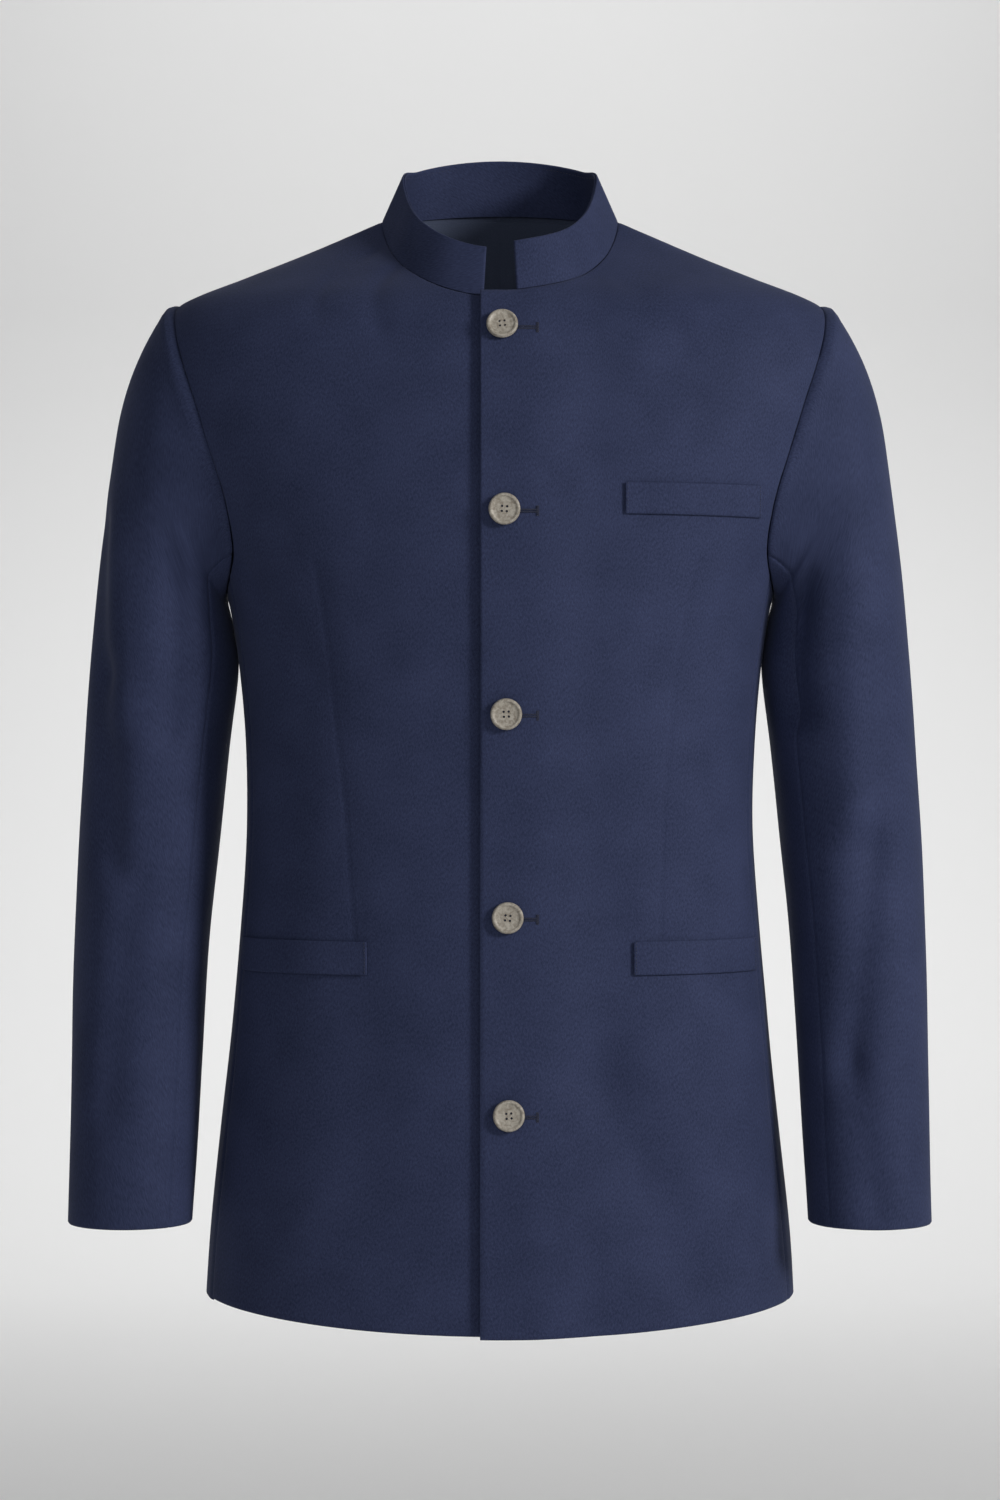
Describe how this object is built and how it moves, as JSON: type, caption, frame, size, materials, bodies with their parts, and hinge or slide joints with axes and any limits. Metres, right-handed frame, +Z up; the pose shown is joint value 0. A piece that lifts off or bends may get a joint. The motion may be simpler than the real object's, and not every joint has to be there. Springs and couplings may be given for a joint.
{
  "type": "nehru jacket",
  "caption": "Long-sleeved band-collar jacket, filled out as worn, with a lapped button front, welt pockets, open neck, hem and cuffs.",
  "frame": {"origin": "on the centre line, 4 mm below the level of the two points where the shoulder seams meet the collar, where the wearer's shoulders hold it", "axes": "+Z up; the front faces -Y; +X is the wearer's left"},
  "size_m": [0.6064, 0.2707, 0.8329],
  "materials": {
    "suiting": "navy blue fine wool twill, soft sheen",
    "lining": "dark navy plain-weave lining, satin",
    "horn": "mottled grey-beige horn, satin polish"
  },
  "bodies": {
    "root": {"front_left": "suiting", "front_right": "suiting", "back_left": "suiting", "back_right": "suiting", "side_panel_left": "suiting", "side_panel_right": "suiting", "top_sleeve_left": "suiting", "top_sleeve_right": "suiting", "under_sleeve_left": "suiting", "under_sleeve_right": "suiting", "collar_outer_band": "suiting", "collar_inner_band": "suiting", "back_lining_left": "lining", "back_lining_right": "lining", "chest_welt": "suiting", "hip_welt_left": "suiting", "hip_welt_right": "suiting", "button_1": "horn", "button_2": "horn", "button_3": "horn", "button_4": "horn", "button_5": "horn"}
  },
  "joints": []
}
